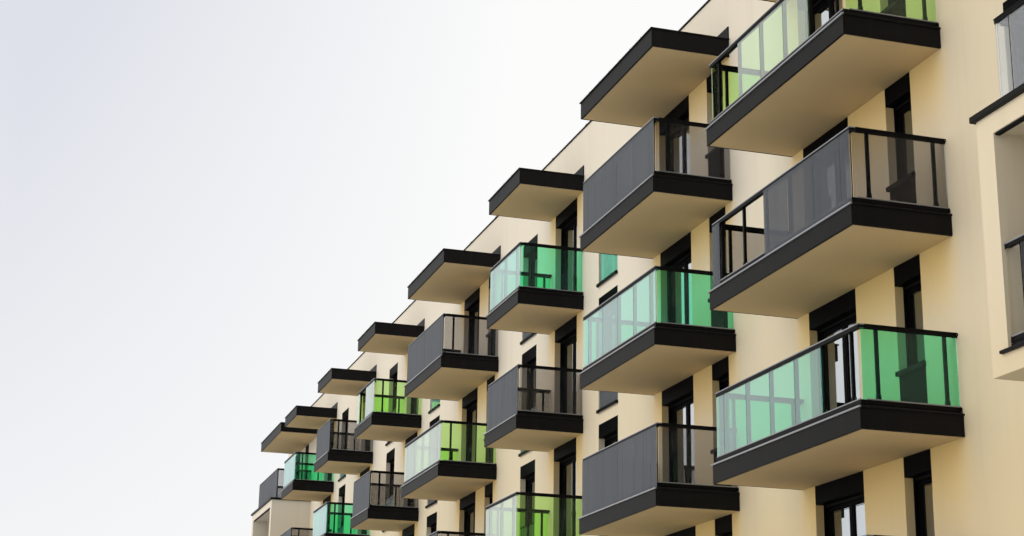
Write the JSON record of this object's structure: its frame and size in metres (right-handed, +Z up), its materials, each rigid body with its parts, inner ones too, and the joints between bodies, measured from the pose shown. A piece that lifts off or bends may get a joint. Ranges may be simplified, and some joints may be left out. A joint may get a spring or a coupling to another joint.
{
  "type": "apartment block, scale model at 1:2",
  "caption": "Long flat-roofed apartment block with glass-railed balconies stacked in columns, canopies above them and projecting loggia boxes; scale model at half size.",
  "frame": {"origin": "centre of the block's plan between its outer walls, on the ground under the ground floor slab", "axes": "+X along the street front towards the near end, +Y from the street front to the back, +Z up"},
  "size_m": [32.03, 7.93, 7.99],
  "materials": {
    "stucco": "fine matt render",
    "soffit_render": "smooth matt render",
    "concrete": "cast, matt",
    "anthracite": "satin powder coat",
    "zinc_edge": "satin sheet",
    "green_glass": "clear green laminated",
    "lime_glass": "clear lime laminated",
    "grey_glass": "smoky grey laminated",
    "pale_glass": "clear with a blue cast",
    "window_glass": "clear",
    "frame_coating": "satin",
    "door_coating": "satin"
  },
  "bodies": {
    "root": {"plinth_slab": "concrete", "front_wall": "stucco", "back_wall": "stucco", "near_end_wall": "stucco", "far_end_wall": "stucco", "floor_slabs": "concrete", "roof_slab": "concrete", "front_coping": "zinc_edge", "back_coping": "zinc_edge", "end_copings": "zinc_edge", "balcony_slabs": "soffit_render", "canopy_slabs": "soffit_render", "front_fascias": "zinc_edge", "side_fascias": "zinc_edge", "canopy_sheets": "zinc_edge", "canopy_flashings": "zinc_edge", "front_bottom_rails": "anthracite", "side_bottom_rails": "anthracite", "railing_posts": "anthracite", "front_handrails": "anthracite", "side_handrails": "anthracite", "green_glass": "green_glass", "lime_glass": "lime_glass", "grey_glass": "grey_glass", "pale_glass": "pale_glass", "loggia_floors": "stucco", "loggia_side_walls": "stucco", "loggia_roofs": "stucco", "loggia_caps": "zinc_edge", "loggia_sills": "zinc_edge", "balcony_door_frames": "frame_coating", "narrow_window_frames": "frame_coating", "french_window_frames": "frame_coating", "front_window_panes": "window_glass", "back_window_frames": "frame_coating", "back_window_panes": "window_glass", "shutter_boxes": "frame_coating", "window_sills": "zinc_edge", "under_window_panels": "frame_coating", "french_window_rails": "anthracite", "entrance_doors": "door_coating", "entrance_canopies": "zinc_edge"}
  },
  "joints": []
}
